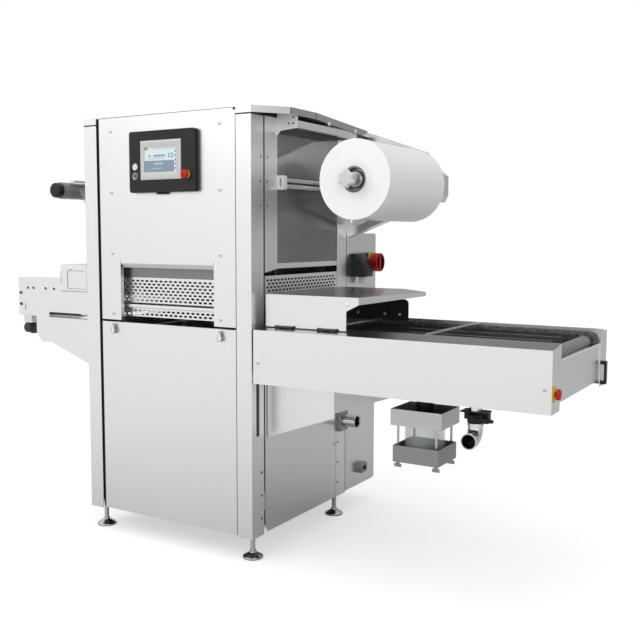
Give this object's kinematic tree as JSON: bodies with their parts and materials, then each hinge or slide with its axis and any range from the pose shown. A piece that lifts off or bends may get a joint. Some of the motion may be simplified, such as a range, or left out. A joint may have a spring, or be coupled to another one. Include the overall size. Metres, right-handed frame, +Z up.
{
  "type": "tray sealer",
  "caption": "Column-framed tray sealer with chain infeed, pusher bars, lifting sealing tool, film reel on an arm, rewinder and belt outfeed.",
  "frame": {"origin": "on the floor under the middle of the bounding box", "axes": "+X towards the infeed end, +Y towards the back, +Z up"},
  "size_m": [2.672, 1.1604, 1.9],
  "materials": {
    "satin_steel": "fine satin brushing",
    "dark_steel": "dull rolled sheet",
    "polished_steel": "polished tube",
    "frame_paint": "matt black paint",
    "tool_aluminium": "milled",
    "chain_steel": "oiled",
    "roller_steel": "turned",
    "charcoal_plastic": "fine grain",
    "black_plastic": "fine grain",
    "white_plastic": "smooth",
    "screen_glass": "clear over a lit screen",
    "smoked_pane": "smoked clear sheet",
    "clear_glass": "clear",
    "clear_film": "clear film",
    "film_white": "wound film",
    "belt_white": "woven belt",
    "signal_red": "moulded",
    "signal_yellow": "moulded"
  },
  "bodies": {
    "machine_frame": {"base_frame": "frame_paint", "corner_posts": "satin_steel", "roof_cover": "satin_steel", "body_panels": "satin_steel", "front_panel": "satin_steel", "panel_screws": "satin_steel", "levelling_feet": "roller_steel", "hmi_housing": "charcoal_plastic", "hmi_bezel": "satin_steel", "hmi_display": "screen_glass", "estop_collars": "signal_yellow", "perforated_guards": "satin_steel", "upper_tool": "tool_aluminium", "lift_guides": "roller_steel", "infeed_side_panels": "satin_steel", "infeed_bed": "dark_steel", "infeed_chains": "chain_steel", "strap_handle": "black_plastic", "cover_hinges": "dark_steel", "cover_back_plate": "frame_paint", "gusset_plates": "satin_steel", "infeed_guard_frame": "satin_steel", "infeed_guard_pane": "smoked_pane", "film_arms": "satin_steel", "roller_brackets": "white_plastic", "film_web": "clear_film", "outfeed_sides": "satin_steel", "outfeed_belt": "belt_white", "outfeed_cover": "satin_steel", "outfeed_motor": "frame_paint", "electric_cabinet": "satin_steel", "cabinet_fittings": "black_plastic", "pipe_fittings": "polished_steel", "vacuum_separator": "dark_steel", "separator_glass": "clear_glass"},
    "front_door": {"lower_door": "satin_steel"},
    "latch_l": {"latch_left": "satin_steel"},
    "latch_r": {"latch_right": "satin_steel"},
    "start_button": {"start_button": "white_plastic"},
    "stop_button": {"stop_button": "charcoal_plastic"},
    "estop_panel": {"estop_knob_panel": "signal_red"},
    "estop_conveyor": {"estop_knob_conveyor": "signal_red"},
    "lower_tool": {"lower_tool": "tool_aluminium"},
    "gripper_bars": {"gripper_bars": "satin_steel"},
    "pusher_bars": {"pusher_bars": "satin_steel"},
    "infeed_drive_shaft": {"infeed_drive_shaft": "roller_steel"},
    "infeed_tail_roller": {"infeed_tail_roller": "roller_steel"},
    "guard_cover": {"guard_cover": "satin_steel"},
    "film_reel": {"film_roll": "film_white", "roll_mandrel": "tool_aluminium"},
    "roll_knob": {"roll_knob": "white_plastic"},
    "guide_roller_upper": {"guide_roller_upper": "tool_aluminium"},
    "guide_roller_lower": {"guide_roller_lower": "tool_aluminium"},
    "rewinder": {"rewind_shaft": "tool_aluminium"},
    "outfeed_drive_roller": {"outfeed_drive_roller": "roller_steel"},
    "outfeed_tail_roller": {"outfeed_tail_roller": "roller_steel"},
    "cabinet_door": {"cabinet_door": "satin_steel"},
    "main_switch": {"main_switch_handle": "signal_red"},
    "valve_lever": {"valve_lever": "black_plastic"}
  },
  "joints": [
    {"name": "front_door_hinge", "type": "hinge", "parent": "machine_frame", "child": "front_door", "pos_m": [-0.4, -0.51615, 0.128], "axis": [1, 0, 0], "range_deg": [0, 35]},
    {"name": "latch_left_turn", "type": "hinge", "parent": "front_door", "child": "latch_l", "pos_m": [-0.695, -0.53215, 0.944], "axis": [0, 1, 0], "range_deg": [0, 90]},
    {"name": "latch_right_turn", "type": "hinge", "parent": "front_door", "child": "latch_r", "pos_m": [-0.091, -0.53215, 0.944], "axis": [0, 1, 0], "range_deg": [0, 90]},
    {"name": "start_button_press", "type": "slide", "parent": "machine_frame", "child": "start_button", "axis": [0, 1, 0], "range_m": [0, 0.0018], "stiffness_N_per_m": 350},
    {"name": "stop_button_press", "type": "slide", "parent": "machine_frame", "child": "stop_button", "axis": [0, 1, 0], "range_m": [0, 0.0018], "stiffness_N_per_m": 350},
    {"name": "estop_panel_press", "type": "slide", "parent": "machine_frame", "child": "estop_panel", "axis": [0, 1, 0], "range_m": [0, 0.0045]},
    {"name": "estop_conveyor_press", "type": "slide", "parent": "machine_frame", "child": "estop_conveyor", "axis": [-1, 0, 0], "range_m": [0, 0.0045]},
    {"name": "lower_tool_lift", "type": "slide", "parent": "machine_frame", "child": "lower_tool", "axis": [0, 0, 1], "range_m": [0, 0.12]},
    {"name": "gripper_advance", "type": "slide", "parent": "machine_frame", "child": "gripper_bars", "axis": [1, 0, 0], "range_m": [-0.055, 0.055]},
    {"name": "chain_advance", "type": "slide", "parent": "machine_frame", "child": "pusher_bars", "axis": [1, 0, 0], "range_m": [-0.14, 0.4]},
    {"name": "drive_shaft_spin", "type": "hinge", "parent": "machine_frame", "child": "infeed_drive_shaft", "pos_m": [0.117, -0.13465, 0.953], "axis": [0, 1, 0], "continuous": true},
    {"name": "tail_roller_spin", "type": "hinge", "parent": "machine_frame", "child": "infeed_tail_roller", "pos_m": [1.26, -0.13465, 0.953], "axis": [0, 1, 0], "continuous": true},
    {"name": "guard_cover_hinge", "type": "hinge", "parent": "machine_frame", "child": "guard_cover", "pos_m": [0.313, -0.47915, 1.004], "axis": [1, 0, 0], "range_deg": [0, 24]},
    {"name": "film_reel_spin", "type": "hinge", "parent": "machine_frame", "child": "film_reel", "pos_m": [0.468, -0.13465, 1.599], "axis": [0, 1, 0], "continuous": true},
    {"name": "roll_knob_turn", "type": "hinge", "parent": "film_reel", "child": "roll_knob", "pos_m": [0.468, -0.46115, 1.599], "axis": [0, 1, 0], "continuous": true},
    {"name": "guide_roller_upper_spin", "type": "hinge", "parent": "machine_frame", "child": "guide_roller_upper", "pos_m": [0.085, -0.13465, 1.613], "axis": [0, 1, 0], "continuous": true},
    {"name": "guide_roller_lower_spin", "type": "hinge", "parent": "machine_frame", "child": "guide_roller_lower", "pos_m": [0.085, -0.13465, 1.587], "axis": [0, 1, 0], "continuous": true},
    {"name": "rewinder_spin", "type": "hinge", "parent": "machine_frame", "child": "rewinder", "pos_m": [-1.081, -0.13465, 1.587], "axis": [0, 1, 0], "continuous": true},
    {"name": "outfeed_drive_spin", "type": "hinge", "parent": "machine_frame", "child": "outfeed_drive_roller", "pos_m": [-0.905, -0.13465, 1.02], "axis": [0, 1, 0], "continuous": true},
    {"name": "outfeed_tail_spin", "type": "hinge", "parent": "machine_frame", "child": "outfeed_tail_roller", "pos_m": [-1.29, -0.13465, 1.02], "axis": [0, 1, 0], "continuous": true},
    {"name": "cabinet_door_hinge", "type": "hinge", "parent": "machine_frame", "child": "cabinet_door", "pos_m": [-0.783, 0.56845, 0.7], "axis": [0, 0, 1], "range_deg": [0, 110]},
    {"name": "main_switch_turn", "type": "hinge", "parent": "machine_frame", "child": "main_switch", "pos_m": [0.085, 0.48315, 1.245], "axis": [1, 0, 0], "range_deg": [0, 90]},
    {"name": "valve_lever_turn", "type": "hinge", "parent": "machine_frame", "child": "valve_lever", "pos_m": [0.92, -0.23215, 0.661], "axis": [0, -1, 0], "range_deg": [0, 90]}
  ],
  "couplings": [
    {"joint": "drive_shaft_spin", "follows": "chain_advance", "rad_per_m": 30.921},
    {"joint": "tail_roller_spin", "follows": "chain_advance", "rad_per_m": 30.921},
    {"joint": "outfeed_tail_spin", "follows": "outfeed_drive_spin", "ratio": 1},
    {"joint": "guide_roller_lower_spin", "follows": "film_reel_spin", "ratio": 15.9},
    {"joint": "guide_roller_upper_spin", "follows": "film_reel_spin", "ratio": -15.9},
    {"joint": "rewinder_spin", "follows": "film_reel_spin", "ratio": 3.975}
  ]
}
